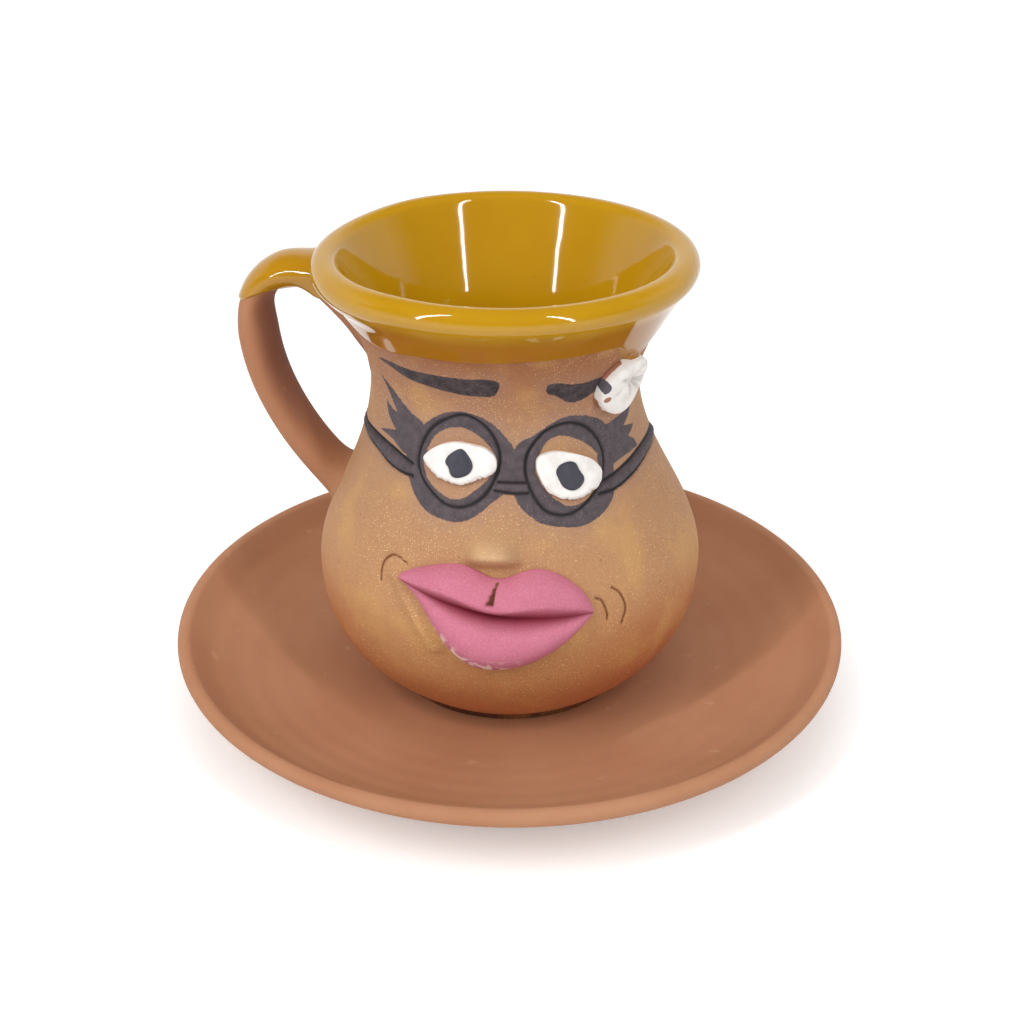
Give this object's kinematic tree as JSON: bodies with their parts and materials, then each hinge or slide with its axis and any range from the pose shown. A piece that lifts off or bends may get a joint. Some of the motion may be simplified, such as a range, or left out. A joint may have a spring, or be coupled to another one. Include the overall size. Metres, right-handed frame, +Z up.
{
  "type": "clay cup and saucer",
  "caption": "Hand-built clay cup with a glazed rim, a strap handle and an applied comic face with painted glasses, standing on a matching saucer.",
  "frame": {"origin": "middle of the saucer's foot, on the surface that it stands on", "axes": "+Z up; the face looks along -Y; the handle stands near -X, to the left of someone who looks at the face"},
  "size_m": [0.15, 0.15, 0.104],
  "materials": {
    "bare_clay": "matt fired clay",
    "body_clay": "matt fired clay with fine pale grains",
    "yellow_glaze": "glossy glaze",
    "pink_slip": "matt slip",
    "white_slip": "matt slip",
    "dark_slip": "matt slip"
  },
  "bodies": {
    "saucer": {"saucer": "bare_clay"},
    "cup": {"cup_body": "body_clay", "glaze_coat": "yellow_glaze", "handle": "bare_clay", "handle_glaze": "yellow_glaze", "nose": "body_clay", "left_eye": "white_slip", "right_eye": "white_slip", "left_pupil": "dark_slip", "right_pupil": "dark_slip", "upper_lip": "pink_slip", "lower_lip": "pink_slip", "flower": "white_slip"}
  },
  "joints": [
    {"name": "cup_lift", "type": "slide", "parent": "saucer", "child": "cup", "axis": [0, 0, 1], "range_m": [0, 0.06]}
  ]
}
